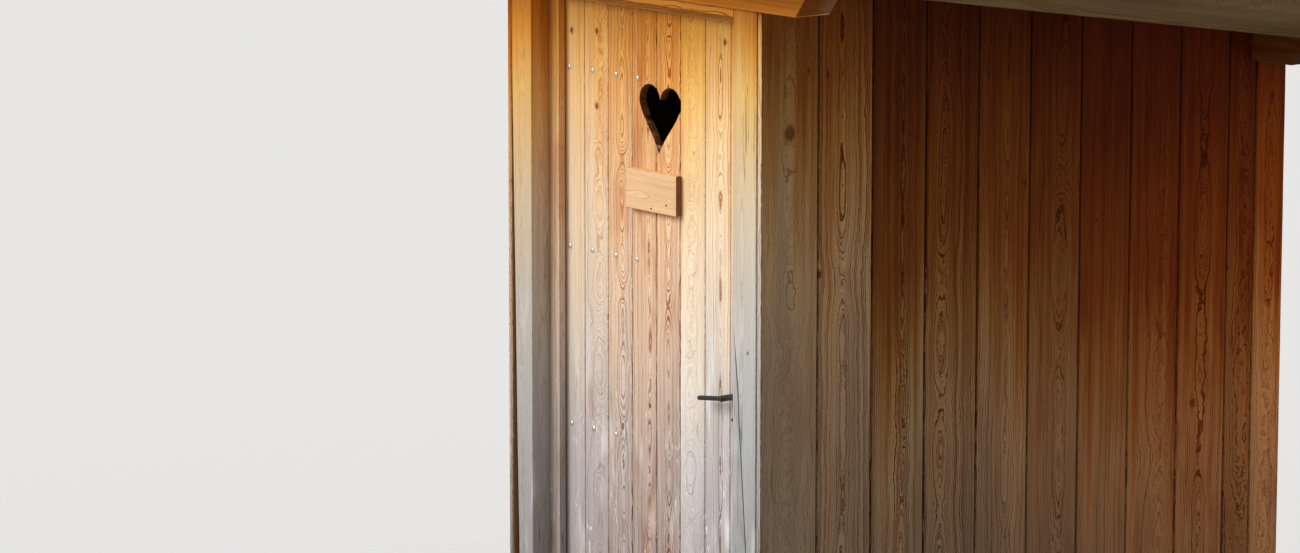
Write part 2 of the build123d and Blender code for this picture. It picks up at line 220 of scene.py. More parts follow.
def addRings(tree, wood, look):
    # the pith lies a little under the shown face and wanders, so the face cuts nested points
    own = wood.own
    pithX, pithDepth, lean = split(tree, mark(tree, "pith"))
    ringWidth, heave, bold = split(tree, mark(tree, "rings"))
    bend = swing(tree, cloud(tree, own, (9, 9, 1.3)), look["wander"])
    bend = plus(tree, bend, swing(tree, cloud(tree, own, (20, 20, 17), 1), look["zigzag"]))
    sway = swing(tree, cloud(tree, own, (2, 2, look["waves"]), 1, 0.4), heave)
    sway = plus(tree, sway, swing(tree, cloud(tree, own, (40, 40, 34), 2), look["scallops"]))
    depth = times(tree, pithDepth, calc(tree, "EXPONENT", plus(tree, sway, times(tree, wood.z, lean))))
    jag = swing(tree, cloud(tree, own, (170, 170, 60), 1), look["jag"])
    jag = plus(tree, jag, swing(tree, cloud(tree, own, (520, 520, 110), 1), look["jag"] * 0.6))
    fromX = plus(tree, minus(tree, wood.ringX, pithX), bend)
    fromY = plus(tree, minus(tree, wood.y, wood.halfDepth), depth)
    radius = plus(tree, calc(tree, "SQRT", length2(tree, fromX, fromY)), jag)
    outwards = calc(tree, "MULTIPLY_ADD", radius, look["bands"], wood.seed)
    bands = addNode(tree, "ShaderNodeTexNoise", {"W": outwards}, noise_dimensions="1D").outputs[0]
    wood.group = ease(tree, bands, 0.38, 0.64)

    # each year ends in a dark line of late wood, some bolder than others
    turn = plus(tree, calc(tree, "DIVIDE", radius, ringWidth), times(tree, bands, 1.6))
    part = calc(tree, "FRACT", turn)
    year = plus(tree, calc(tree, "FLOOR", turn), times(tree, wood.seed, 17.3))
    strength = addNode(tree, "ShaderNodeTexWhiteNoise", {"W": year}, noise_dimensions="1D").outputs[0]
    late = times(tree, ease(tree, part, 0.3, 0.82), ease(tree, part, 1.0, 0.84))
    line = times(tree, times(tree, late, bold), ease(tree, strength, 0.0, 1.0, 0.4, 1.0))
    line = times(tree, line, ease(tree, wood.group, 0.0, 1.0, 0.45, 1.15))
    threads = times(tree, plus(tree, wood.fibre, wood.fine), 0.7)
    wood.line = times(tree, line, plus(tree, threads, 0.3))


def weatheredColor(tree, wood, look):
    # colour by height, in tongues, bleached towards the foot
    level = plus(tree, wood.height, swing(tree, wood.streak, look["tongues"]))
    level = plus(tree, level, swing(tree, wood.broad, look["clouds"]))
    level = minus(tree, level, wood.grey)
    early = heightRamp(tree, level, look["colors"])
    fresh = ease(tree, level, look["greyBelow"], look["freshAbove"])
    if "inner" in look:
        sheltered = ease(tree, calc(tree, "DIVIDE", wood.y, wood.halfDepth), 0.1, -0.7)
        early = tinted(tree, sheltered, early, paint(look["inner"]))
        fresh = calc(tree, "MAXIMUM", fresh, sheltered)
    if "frontEdge" in look:
        # the edge that looks out at the front has weathered like the posts
        honey = heightRamp(tree, level, look["frontEdge"])
        early = tinted(tree, ease(tree, wood.towardsBack, wallFront + 0.001, wallFront), early, honey)
    lateTint = tinted(tree, fresh, paint(look["lateGrey"]), paint(look["lateFresh"]))
    color = washed(tree, times(tree, wood.line, look["contrast"]), early, lateTint)
    flame = calc(tree, "MULTIPLY_ADD", wood.group, 0.1, wood.streak)
    flame = ease(tree, flame, 0.54, 0.74, 0.0, look["flame"])
    color = washed(tree, times(tree, flame, fresh), color, paint(look["flameTint"]), early)

    # pale flecks and patches on the grey, red blushes anywhere
    fleck = ease(tree, cloud(tree, wood.own, (230, 230, 42), 1), 0.6, 0.7)
    fleck = times(tree, fleck, ease(tree, cloud(tree, wood.own, (26, 26, 9), 1), 0.5, 0.66))
    bleach = ease(tree, cloud(tree, wood.own, (17, 17, 3.2), 2), 0.55, 0.74, 0.0, look["bleach"])
    pale = calc(tree, "MAXIMUM", bleach, times(tree, fleck, look["flecks"]))
    color = tinted(tree, times(tree, pale, minus(tree, 1.0, fresh)), color, paint(look["pale"]))
    blush = ease(tree, cloud(tree, wood.own, (16, 16, 3.1), 2, 0.6), 0.5, 0.66)
    blush = times(tree, blush, plus(tree, times(tree, wood.red, look["stain"]), look["blush"]))
    return washed(tree, blush, color, paint(look["blushTint"]))


def boardTone(tree, wood, look, color):
    # each board is lighter or redder than its neighbours, and mottled
    threads = plus(tree, wood.fibre, times(tree, wood.fine, 0.8))
    shade = plus(tree, swing(tree, threads, look["fibres"]), 1.0 - look["fibres"] * 0.4)
    shade = times(tree, shade, plus(tree, wood.light, 1.0))
    shade = times(tree, shade, plus(tree, swing(tree, wood.broad, look["mottle"]), 1.0))
    warm = times(tree, shade, plus(tree, wood.red, 1.0))
    middle = times(tree, shade, minus(tree, 1.0, times(tree, wood.red, 0.5)))
    cool = times(tree, shade, minus(tree, 1.0, times(tree, wood.red, 1.4)))
    tint = addNode(tree, "ShaderNodeCombineXYZ", {0: warm, 1: middle, 2: cool}).outputs[0]
    return scaled(tree, color, tint)


def dryingCracks(tree, wood, look):
    line = calc(tree, "ABSOLUTE", minus(tree, cloud(tree, wood.own, (75, 75, 1.5), 1), 0.5))
    field = ease(tree, cloud(tree, wood.own, (24, 24, 2.6), 1), 0.56, 0.66)
    return times(tree, times(tree, ease(tree, line, 0.011, 0.003), field), look["cracks"])


def marked(tree, wood, look, color, crack):
    # knots, arrises darkened by dirt and by painted shade in the joints, cracks, mildew, splashed soil,
    # and sawn faces darkened as end grain and as painted shade in holes and cracks
    knotColor = tinted(tree, wood.knotTone, paint(look["knotDark"]), paint(look["knot"]))
    color = washed(tree, times(tree, wood.collar, 0.35), color, paint(look["collarTint"]))
    color = tinted(tree, times(tree, wood.core, look["knots"]), color, knotColor)
    # darker towards each arris: partly dirt, partly painted shade in the joints between boards
    rimX = minus(tree, wood.halfWidth, calc(tree, "ABSOLUTE", wood.x))
    rimY = minus(tree, wood.halfDepth, calc(tree, "ABSOLUTE", wood.y))
    arrisDirtAndShade = plus(tree, calc(tree, "MAXIMUM", rimX, rimY), times(tree, wood.crumble, 0.004))
    arrisDirtAndShade = times(tree, ease(tree, arrisDirtAndShade, look["edgeReach"], 0.0005), look["edge"])
    color = tinted(tree, arrisDirtAndShade, color, paint(look["dirtAndShade"]))
    color = tinted(tree, times(tree, crack, 0.7), color, paint(look["dirtAndShade"]))
    mildew = ease(tree, cloud(tree, wood.own, (230, 230, 120), 2, 0.7), 0.66, 0.74, 0.0, look["mildew"])
    color = tinted(tree, mildew, color, paint(look["dirtAndShade"]))
    splash = plus(tree, wood.height, swing(tree, wood.broad, 0.5))
    splash = ease(tree, splash, 0.42, 0.02, 0.0, look["splash"])
    color = washed(tree, splash, color, paint(look["soil"]))
    # sawn faces darken: end grain for real, the sides of holes and cracks as painted shade
    sawnAndShaded = addNode(tree, "ShaderNodeAttribute", attribute_name="sawnAndShaded").outputs["Fac"]
    return washed(tree, times(tree, sawnAndShaded, look["sawnAndShaded"]), color, paint(look["sawnAndShadedTint"]))


def woodMaterial(name, look):
    material, tree = newMaterial(name)
    wood = boardFields(tree)
    addKnots(tree, wood)
    addRings(tree, wood, look)
    crack = dryingCracks(tree, wood, look)
    color = boardTone(tree, wood, look, weatheredColor(tree, wood, look))
    color = marked(tree, wood, look, color, crack)
    relief = calc(tree, "MULTIPLY_ADD", wood.line, 0.55, times(tree, wood.fibre, 0.5))
    relief = minus(tree, relief, times(tree, crack, 2.2))
    bump = addNode(tree, "ShaderNodeBump", {
        "Height": relief, "Strength": look["bump"], "Distance": 0.0008,
    })
    roughness = ease(tree, wood.fibre, 0.2, 0.8, look["rough"], look["rough"] + 0.16)
    surface = addNode(tree, "ShaderNodeBsdfPrincipled", {
        "Base Color": color, "Roughness": roughness, "Normal": bump.outputs[0],
        "Specular IOR Level": look["shine"],
    })
    addNode(tree, "ShaderNodeOutputMaterial", {"Surface": surface.outputs[0]})
    return material


plainWood = {
    "wander": 0.026, "zigzag": 0.006, "waves": 7.5, "scallops": 0.25, "jag": 0.0012, "bands": 110.0,
    "contrast": 1.2, "flame": 0.4, "fibres": 0.25, "mottle": 0.25, "stain": 3.0,
    "flecks": 0.5, "bleach": 0.4, "pale": (240, 232, 226), "blush": 0.25, "blushTint": (214, 160, 124),
    # the sawn amount and tint darken end grain, and paint shade on the sides of holes and cracks
    "sawnAndShaded": 0.85, "sawnAndShadedTint": (112, 76, 52), "collarTint": (205, 160, 120), "soil": (150, 142, 118),
    "tongues": 0.35, "clouds": 0.2, "greyBelow": 0.8, "freshAbove": 1.6,
    "lateFresh": (178, 122, 76), "lateGrey": (164, 140, 124), "flameTint": (230, 186, 146),
    "knot": (132, 76, 38), "knotDark": (62, 34, 18), "knots": 0.85,
    # the dirt colour also paints the shade in the joints along the arrises
    "dirtAndShade": (66, 44, 28), "edge": 0.5, "edgeReach": 0.0026, "cracks": 0.6, "mildew": 0.1, "splash": 0.8,
    "bump": 0.5, "rough": 0.62, "shine": 0.12,
}
doorWood = dict(plainWood, **{
    "inner": (222, 184, 132), "bleach": 0.6, "flecks": 0.8,
    "colors": [(0.25, (156, 150, 146)), (0.74, (182, 173, 170)), (0.95, (198, 187, 180)),
               (1.15, (222, 206, 188)), (1.45, (240, 216, 184)), (1.75, (242, 200, 140)),
               (1.92, (240, 182, 98)), (2.06, (230, 164, 66))],
})
postWood = dict(doorWood, **{
    "cracks": 1.0, "contrast": 0.5, "flame": 0.3, "blush": 0.1, "waves": 3.0, "flecks": 0.15,
    "colors": [(0.25, (148, 144, 142)), (0.7, (166, 162, 159)), (1.0, (186, 181, 176)),
               (1.25, (202, 192, 178)), (1.5, (222, 198, 166)), (1.78, (238, 190, 112)),
               (1.95, (226, 148, 52)), (2.1, (196, 112, 20))],
})
claddingWood = dict(plainWood, **{
    "wander": 0.04, "zigzag": 0.01, "waves": 3.8, "scallops": 0.3, "jag": 0.002, "bands": 80.0,
    "contrast": 1.3, "flame": 0.5, "mottle": 0.55, "fibres": 0.3, "knots": 0.7, "shine": 0.05,
    "flecks": 0.2, "bleach": 0.15, "blush": 0.2, "stain": 0.8, "pale": (180, 140, 100),
    "tongues": 0.6, "clouds": 0.5, "greyBelow": 0.6, "freshAbove": 1.9, "inner": (196, 152, 102),
    # browner, less weathered wood up high; the darkening towards the top, under the eave, is partly
    # painted shade of the roof overhang
    "colors": [(0.2, (142, 124, 102)), (0.8, (156, 134, 108)), (1.1, (170, 144, 114)),
               (1.35, (184, 152, 112)), (1.62, (168, 122, 66)), (1.82, (140, 84, 33)),
               (2.0, (131, 76, 25)), (2.2, (112, 57, 13)), (2.35, (98, 45, 7))],
    "lateFresh": (140, 90, 58), "lateGrey": (138, 106, 82), "flameTint": (216, 158, 112),
    "frontEdge": postWood["colors"],
    # a dark dirt colour that also paints the shade in the joints between the boards
    "knot": (98, 52, 26), "knotDark": (50, 26, 14), "dirtAndShade": (30, 18, 11), "edge": 0.8,
    "edgeReach": 0.0042, "cracks": 0.5, "mildew": 0.12,
})
framingWood = dict(plainWood, **{
    "tongues": 0.6, "greyBelow": 0.0, "freshAbove": 0.3, "edge": 0.2,
    "colors": [(0.05, (150, 124, 92)), (0.4, (186, 148, 102)), (1.2, (204, 164, 112)),
               (2.3, (210, 168, 112))],
    "mildew": 0.05,
})
floorWood = dict(framingWood, **{
    "colors": [(0.0, (150, 120, 86)), (0.2, (164, 132, 96))], "tongues": 0.3, "edge": 0.4, "splash": 0.0,
})
roofWood = dict(plainWood, **{
    "tongues": 0.5, "clouds": 0.9, "flame": 0.0, "greyBelow": -1.0, "freshAbove": 0.0, "mottle": 0.5,
    "pale": (150, 146, 126), "blush": 0.1,
    "colors": [(1.7, (98, 82, 54)), (1.9, (118, 98, 66)), (2.1, (130, 110, 76)), (2.3, (136, 118, 88)),
               (2.45, (122, 110, 84))],
    # the dirt colour also paints shade at the arrises
    "lateFresh": (196, 184, 160), "knot": (84, 66, 46), "knotDark": (44, 34, 24), "dirtAndShade": (44, 42, 30),
    "mildew": 0.4, "cracks": 1.0, "rough": 0.74, "bump": 0.7, "splash": 0.0,
})
signWood = dict(plainWood, **{
    "tongues": 0.4, "greyBelow": 0.0, "freshAbove": 0.3, "contrast": 0.5, "blush": 0.3,
    "colors": [(1.4, (226, 184, 136)), (1.56, (236, 196, 150)), (1.7, (240, 202, 156))],
})


# Metal: forged iron with worn arrises, and plated bolts

def ironMaterial(name, look):
    material, tree = newMaterial(name)
    place = addNode(tree, "ShaderNodeTexCoord").outputs["Object"]
    dents = cloud(tree, place, (160, 160, 160))
    grit = cloud(tree, place, (900, 900, 900), 3)
    pointed = addNode(tree, "ShaderNodeNewGeometry").outputs["Pointiness"]
    worn = ease(tree, pointed, 0.51, 0.57, 0.0, look["worn"])
    color = tinted(tree, dents, paint(look["dark"]), paint(look["light"]))
    color = tinted(tree, worn, color, paint(look["bare"]))
    rust = ease(tree, cloud(tree, place, (60, 60, 40), 3, 0.7), 0.58, 0.72, 0.0, look["rust"])
    color = tinted(tree, rust, color, paint(rustBrown))
    bump = addNode(tree, "ShaderNodeBump", {
        "Height": calc(tree, "MULTIPLY_ADD", grit, 0.3, dents),
        "Strength": look["bump"], "Distance": 0.0006,
    })
    roughness = ease(tree, grit, 0.3, 0.7, look["rough"], look["rough"] + 0.2)
    surface = addNode(tree, "ShaderNodeBsdfPrincipled", {
        "Base Color": color, "Roughness": roughness, "Normal": bump.outputs[0],
        "Metallic": look["metal"],
    })
    addNode(tree, "ShaderNodeOutputMaterial", {"Surface": surface.outputs[0]})
    return material


rustBrown = (104, 60, 36)
forgedIron = {"dark": (30, 28, 27), "light": (58, 54, 50), "bare": (120, 114, 108),
              "worn": 0.5, "rust": 0.4, "bump": 0.5, "rough": 0.42, "metal": 0.6}
platedSteel = {"dark": (176, 175, 172), "light": (210, 208, 204), "bare": (236, 234, 230),
               "worn": 0.3, "rust": 0.0, "bump": 0.15, "rough": 0.22, "metal": 0.9}
finishes = {
    "door_wood": woodMaterial("doorWood", doorWood),
    "post_wood": woodMaterial("postWood", postWood),
    "cladding_wood": woodMaterial("claddingWood", claddingWood),
    "framing": woodMaterial("framingWood", framingWood),
    "floor_wood": woodMaterial("floorWood", floorWood),
    "roof_wood": woodMaterial("roofWood", roofWood),
    "sign_wood": woodMaterial("signWood", signWood),
    "dark_iron": ironMaterial("darkIron", forgedIron),
    "bolt_steel": ironMaterial("boltSteel", platedSteel),
}
print("materials made")


# Board shapes
endChip = 0.0015
spareLength = 0.02          # what the outline cuts off again
usualSpread = (0.07, 0.03, 0.08)
noKnot = (9, 9, 0)          # far off the board, and without a size


def addObject(name, data):
    made = bpy.data.objects.new(name, data)
    bpy.context.scene.collection.objects.link(made)
    return made


def skin(part, lower, upper):
    # a band of faces from one ring of points to the next
    count = len(lower)
    for k in range(count):
        after = (k + 1) % count
        part.faces.new((lower[k], lower[after], upper[after], upper[k]))


def easeArrises(part, angle, arris):
    corners = [e for e in part.edges if len(e.link_faces) == 2 and e.calc_face_angle(0) > radians(angle)]
    bmesh.ops.bevel(part, geom=corners, offset=arris, segments=2, profile=0.5, affect="EDGES",
                    clamp_overlap=True)


def turned(axes):
    # rows to columns: local across, out and along become world directions
    return Matrix(axes).transposed()


def easedCorner(x, y, radius, start, turns):
    angles = [radians(start - 90 * k / turns) for k in range(turns + 1)]
    return [(x + radius * cos(a), y + radius * sin(a)) for a in angles]


def boardSection(width, depth, shape, grooved):
    # clockwise from the left end of the shown face, with a tongue at the right and a groove at the left
    halfWidth = width / 2
    halfDepth = depth / 2
    arris = min(shape["round"], 0.45 * depth, 0.45 * width)
    across = halfWidth - arris
    out = halfDepth - arris
    turns = shape["turns"]
    tongue = shape.get("tongue", 0)
    cheek = depth / 6
    steps = shape["facets"]
    face = [(-across + 2 * across * k / steps, halfDepth) for k in range(1, steps)]
    section = easedCorner(-across, out, arris, 180, turns) + face
    section += easedCorner(across, out, arris, 90, turns)
    if tongue:
        tip = halfWidth + tongue
        section += [(halfWidth, cheek), (tip, cheek), (tip, -cheek), (halfWidth, -cheek)]
    section += easedCorner(across, -out, arris, 0, turns)
    section += [(-x, -y) for x, y in face]
    section += easedCorner(-across, -out, arris, -90, turns)
    if tongue and grooved:
        deep = -halfWidth + tongue + 0.0005
        wide = cheek + 0.0004
        section += [(-halfWidth, -wide), (deep, -wide), (deep, wide), (-halfWidth, wide)]
    return section


def wanderAt(board, shape, x, y, z):
    # how far a point of the board strays, always within its own room
    halfWidth = board["size"][0] / 2
    seed = board["seed"]
    across = x / halfWidth
    side = 1 if across > 0 else -1
    waves = noise.noise(Vector((seed + 7 * side, z * 7, 0)))
    waves += 0.5 * noise.noise(Vector((seed - 5 * side, z * 24, 4)))
    pull = shape["wane"] * (0.45 + 0.5 * waves) * min(1, abs(across)) ** 4
    bow = 0.4 * noise.noise(Vector((seed, z * 1.6, 9)))
    ripple = 0.4 * noise.noise(Vector((x * 25, seed * 3.3, z * 5)))
    return -side * pull, shape["wave"] * (bow + ripple) - shape["cup"] * (across * across - 0.4)


def sweepBoard(part, board, shape):
    width, depth, length = board["size"]
    section = boardSection(width, depth, shape, board.get("grooved", True))
    chip = min(endChip, 0.3 * depth)
    steps = max(2, round(length / shape["step"]))
    inner = [-length / 2 + chip + (length - 2 * chip) * k / steps for k in range(steps + 1)]
    stations = [(-length / 2, chip)] + [(z, 0) for z in inner] + [(length / 2, chip)]
    rings = []
    for z, inset in stations:
        ring = []
        for x, y in section:
            shiftX, shiftY = wanderAt(board, shape, x, y, z)
            shrinkX = 1 - 2 * inset / width
            shrinkY = 1 - 2 * inset / depth
            ring.append(part.verts.new((x * shrinkX + shiftX, y * shrinkY + shiftY, z)))
        rings.append(ring)
    for lower, upper in zip(rings[:-1], rings[1:]):
        skin(part, lower, upper)
    part.faces.new(list(reversed(rings[0])))
    part.faces.new(rings[-1])
    place = Matrix.Translation(board["centre"]) @ turned(board["axes"]).to_4x4()
    bmesh.ops.transform(part, matrix=place, verts=part.verts[:])
    bmesh.ops.recalc_face_normals(part, faces=part.faces[:])


def newBoard(centre, size, axes, **own):
    plain = {"centre": Vector(centre), "size": size, "axes": axes, "knots": (), "tone": (0, 0, 0)}
    return dict(plain, **own)


def grow(boards, shape, seed, spread=usualSpread):
    # gives each board its own place in a tree, small knots and tone
    picks = random.Random(seed)
    ring, heave, bold = shape.get("rings", (0.0034, 1.8, 0.8))
    for number, board in enumerate(boards):
        halfWidth = board["size"][0] / 2
        side = picks.choice((-1, 1))
        board["seed"] = seed + number * 1.618
        pith = (picks.uniform(-0.4, 0.4) * halfWidth, picks.uniform(0.35, 0.8) * halfWidth,
                side * picks.uniform(0, 0.2))
        if picks.random() < 0.35:
            pith = (side * picks.uniform(1.3, 2.4) * halfWidth, 0.5 * halfWidth, side * 0.1)
        grain = (ring * picks.uniform(0.8, 1.35), heave * picks.uniform(0.6, 1.3),
                 bold * picks.uniform(0.8, 1.1))
        board.setdefault("rings", grain)
        board.setdefault("pith", pith)
        knot = (picks.uniform(-0.6, 0.6) * halfWidth, picks.uniform(-0.45, 0.45) * board["size"][2],
                picks.uniform(0.004, 0.009))
        if not board["knots"] and picks.random() < 0.6:
            board["knots"] = [knot]
        tones = zip(board["tone"], spread)
        board["tone"] = tuple(base + picks.uniform(-reach, reach) for base, reach in tones)


def toObject(name, part):
    mesh = bpy.data.meshes.new(name)
    part.to_mesh(mesh)
    part.free()
    return addObject(name, mesh)


def sweepBoards(name, boards, shape):
    whole = bmesh.new()
    numbers = whole.faces.layers.int.new("boardNumber")
    for number, board in enumerate(boards):
        part = bmesh.new()
        sweepBoard(part, board, shape)
        loose = bpy.data.meshes.new("loose")
        part.to_mesh(loose)
        part.free()
        before = len(whole.faces)
        whole.from_mesh(loose)
        bpy.data.meshes.remove(loose)
        whole.faces.ensure_lookup_table()
        for face in whole.faces[before:]:
            face[numbers] = number + 1
    return toObject(name, whole)


def applyModifiers(made):
    graph = bpy.context.evaluated_depsgraph_get()
    graph.update()
    mesh = bpy.data.meshes.new_from_object(made.evaluated_get(graph), preserve_all_data_layers=True,
                                           depsgraph=graph)
    made.modifiers.clear()
    old = made.data
    made.data = mesh
    bpy.data.meshes.remove(old)


def weldedCopy(node):
    part = bmesh.new()
    part.from_mesh(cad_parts[node].data)
    bmesh.ops.remove_doubles(part, verts=part.verts[:], dist=0.00002)
    bmesh.ops.dissolve_limit(part, angle_limit=radians(0.5), verts=part.verts[:], edges=part.edges[:])
    return part


def shapeWith(made, tool, operation):
    cut = made.modifiers.new("cut", "BOOLEAN")
    cut.operation = operation
    cut.solver = "EXACT"
    cut.use_self = operation == "DIFFERENCE"
    cut.object = tool
    applyModifiers(made)
    mesh = tool.data
    bpy.data.objects.remove(tool)
    bpy.data.meshes.remove(mesh)


def islands(mesh):
    parent = list(range(len(mesh.vertices)))

    def root(i):
        while parent[i] != i:
            parent[i] = parent[parent[i]]
            i = parent[i]
        return i

    for edge in mesh.edges:
        first, second = (root(i) for i in edge.vertices)
        if first != second:
            parent[first] = second
    return [root(i) for i in range(len(parent))]


def writeGrain(made, boardOf):
    # tells each point where it lies in its own board
    mesh = made.data
    names = ("grain", "board", "tone", "pith", "rings", "knotA", "knotB")
    for name in names:
        mesh.attributes.new(name, "FLOAT_VECTOR", "POINT")
    layers = {name: mesh.attributes[name].data for name in names}
    for vert in mesh.vertices:
        board = boardOf(vert.index)
        away = vert.co - board["centre"]
        across, out, along = board["axes"]
        knots = list(board["knots"]) + [noKnot, noKnot]
        layers["grain"][vert.index].vector = (away.dot(across), away.dot(out), away.dot(along))
        layers["board"][vert.index].vector = (board["seed"], board["size"][0] / 2, board["size"][1] / 2)
        layers["tone"][vert.index].vector = board["tone"]
        layers["pith"][vert.index].vector = board["pith"]
        layers["rings"][vert.index].vector = board["rings"]
        layers["knotA"][vert.index].vector = knots[0]
        layers["knotB"][vert.index].vector = knots[1]
    # end grain, which is darker of itself, and the sides of holes and cut cracks, darkened as painted
    # shade
    mesh.attributes.new("sawnAndShaded", "FLOAT", "CORNER")
    sawnAndShaded = mesh.attributes["sawnAndShaded"].data
    for face in mesh.polygons:
        board = boardOf(face.vertices[0])
        across, out, along = board["axes"]
        inside = abs((face.center - board["centre"]).dot(across)) < board["size"][0] / 2 - 0.0045
        cut = abs(face.normal.dot(along)) > 0.7 or (inside and abs(face.normal.dot(out)) < 0.5)
        for corner in face.loop_indices:
            sawnAndShaded[corner].value = 1.0 if cut else 0.0


def finishPiece(made, slot, body, nodes=(), sharp=50):
    made.data.shade_smooth()
    made.data.set_sharp_from_angle(angle=radians(sharp))
    made.modifiers.new("evenNormals", "WEIGHTED_NORMAL").keep_sharp = True
    applyModifiers(made)
    made.data.materials.clear()
    made.data.materials.append(finishes[slot])
    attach(made, body)
    if nodes:
        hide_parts(*nodes)


def layBoards(name, slot, body, boards, shape, seed, node, spread=usualSpread):
    # boards laid side by side and cut to the outline of the solid that they stand for
    grow(boards, shape, seed, spread)
    across = boards[0]["axes"][0]
    min(boards, key=lambda board: board["centre"].dot(across))["grooved"] = False
    made = sweepBoards(name, boards, shape)
    shapeWith(made, toObject("outline", weldedCopy(node)), "INTERSECT")
    groups = islands(made.data)
    numbers = made.data.attributes["boardNumber"].data
    owner = {}
    for face in made.data.polygons:
        group = groups[face.vertices[0]]
        owner[group] = max(owner.get(group, 0), numbers[face.index].value)
    writeGrain(made, lambda index: boards[owner[groups[index]] - 1])
    print(name, len(boards), "boards,", len(made.data.polygons), "faces")
    finishPiece(made, slot, body, (node,))


def dressTimber(node, slot, body, axes, shape, seed, tone=(0, 0, 0), knots=(), cutters=()):
    # a sawn timber: the solid's own shape with eased, slightly wandering arrises
    part = weldedCopy(node)
    easeArrises(part, 20, shape["round"])
    turn = turned(axes)
    back = turn.transposed()
    along = axes[2]
    lowest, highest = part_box(node)
    reach = [v.co.dot(along) for v in part.verts]
    low = min(reach)
    span = max(reach) - low
    steps = max(2, round(span / shape["step"]))
    for step in range(1, steps):
        bmesh.ops.bisect_plane(part, geom=part.verts[:] + part.edges[:] + part.faces[:],
                               plane_co=along * (low + span * step / steps), plane_no=along)
    for vert in part.verts:
        place = back @ vert.co * 4
        driftX = noise.noise(place + Vector((seed, 0, 0))) * shape["wave"]
        driftY = noise.noise(place + Vector((0, seed, 5))) * shape["wave"]
        moved = vert.co + turn @ Vector((driftX, driftY, 0))
        vert.co = [min(max(c, least), most) for c, least, most in zip(moved, lowest, highest)]
    made = toObject(node + "_timber", part)
    for cutter in cutters:
        shapeWith(made, cutter, "DIFFERENCE")
    mesh = made.data
    groups = islands(mesh)
    points = {}
    for vert in mesh.vertices:
        points.setdefault(groups[vert.index], []).append(back @ vert.co)
    boards = {}
    for group, members in sorted(points.items(), key=lambda item: tuple(round(c, 4) for c in item[1][0])):
        lows = Vector([min(p[i] for p in members) for i in range(3)])
        highs = Vector([max(p[i] for p in members) for i in range(3)])
        middle = turn @ ((lows + highs) / 2)
        boards[group] = newBoard(middle, tuple(highs - lows), axes, tone=tone, knots=knots)
    grow(list(boards.values()), shape, seed)
    writeGrain(made, lambda index: boards[groups[index]])
    finishPiece(made, slot, body, (node,))


def evenJoints(low, high, count):
    return [low + (high - low) * k / count for k in range(1, count)]


def between(joints, low, high, gap):
    # where each board starts and ends
    edges = [low] + list(joints) + [high]
    return [(a + gap / 2, b - gap / 2) for a, b in zip(edges[:-1], edges[1:])]


# Walls: tongued boards with loose, slightly waney joints
walls = {
    "shape": {"round": 0.0035, "turns": 2, "facets": 6, "tongue": 0.006, "step": 0.09,
              "wane": 0.0014, "wave": 0.0004, "cup": 0.0003, "rings": (0.0044, 1.8, 1.0)},
    "gap": 0.0026, "inset": 0.0007, "foot": 0.003,
    "sideTone": (-0.12, 0.05, -0.1), "backTone": (-0.12, 0.03, -0.1),
    "sideSpread": (0.05, 0.02, 0.06), "backSpread": (0.08, 0.03, 0.1),
    "sideJoints": (0.186, 0.365, 0.544, 0.723, 0.902, 1.081, 1.260, 1.439, 1.618, 1.718),
    "backBoards": 6,
    "rightTones": ((0.04, 0.02, 0.11), (0.13, 0.03, 0.02), (-0.05, 0.01, -0.4), (-0.2, 0.06, -0.38),
                   (-0.08, 0.08, -0.36), (-0.26, 0.18, -0.5), (-0.24, 0.22, -0.58), (-0.2, 0.26, -0.62),
                   (-0.1, 0.32, -0.62), (-0.28, 0.34, -0.58), (0.3, 0.28, -0.5)),
    "rightPiths": {0: (-0.006, 0.06, 0.1), 1: (-0.008, 0.022, 0.02), 2: (0.012, 0.011, -0.1),
                   3: (-0.03, 0.024, 0.05), 4: (0.01, 0.022, 0.0), 5: (0.02, 0.03, 0.1),
                   8: (0.0, 0.03, 0.0), 9: (0.01, 0.05, 0.0)},
    "rightRings": {0: (0.0054, 1.8, 0.6), 1: (0.0044, 2.7, 2.0), 2: (0.0036, 2.6, 1.8),
                   3: (0.0048, 2.7, 2.0), 4: (0.0044, 2.4, 1.2)},
    "rightKnots": {0: [(-0.001, 0.6, 0.015), (0.06, 0.75, 0.005)],
                   1: [(-0.084, 0.237, 0.008), (-0.062, 0.73, 0.005)], 2: [noKnot], 3: [noKnot],
                   4: [(-0.05, 0.7, 0.010), (0.07, 0.4, 0.006)],
                   8: [(-0.03, -0.25, 0.009), (0.0, 0.52, 0.006)], 9: [(0.0, 0.34, 0.009)]},
}


def sideWall(name, node, axes, seed, own):
    low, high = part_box(node)
    middleX = (low.x + high.x) / 2
    thick = high.x - low.x - 2 * walls["inset"]
    picks = random.Random(seed)
    boards = []
    strips = between([low.y + joint for joint in walls["sideJoints"]], low.y, high.y, walls["gap"])
    for number, (start, end) in enumerate(strips):
        foot = low.z + picks.uniform(0, walls["foot"])
        middle = (middleX, (start + end) / 2, (foot + high.z) / 2)
        board = newBoard(middle, (end - start, thick, high.z - foot), axes, tone=walls["sideTone"])
        for trait, known in own.items():
            if number in known:
                board[trait] = known[number]
        boards.append(board)
    layBoards(name, "cladding_wood", "cabin", boards, walls["shape"], seed, node, walls["sideSpread"])


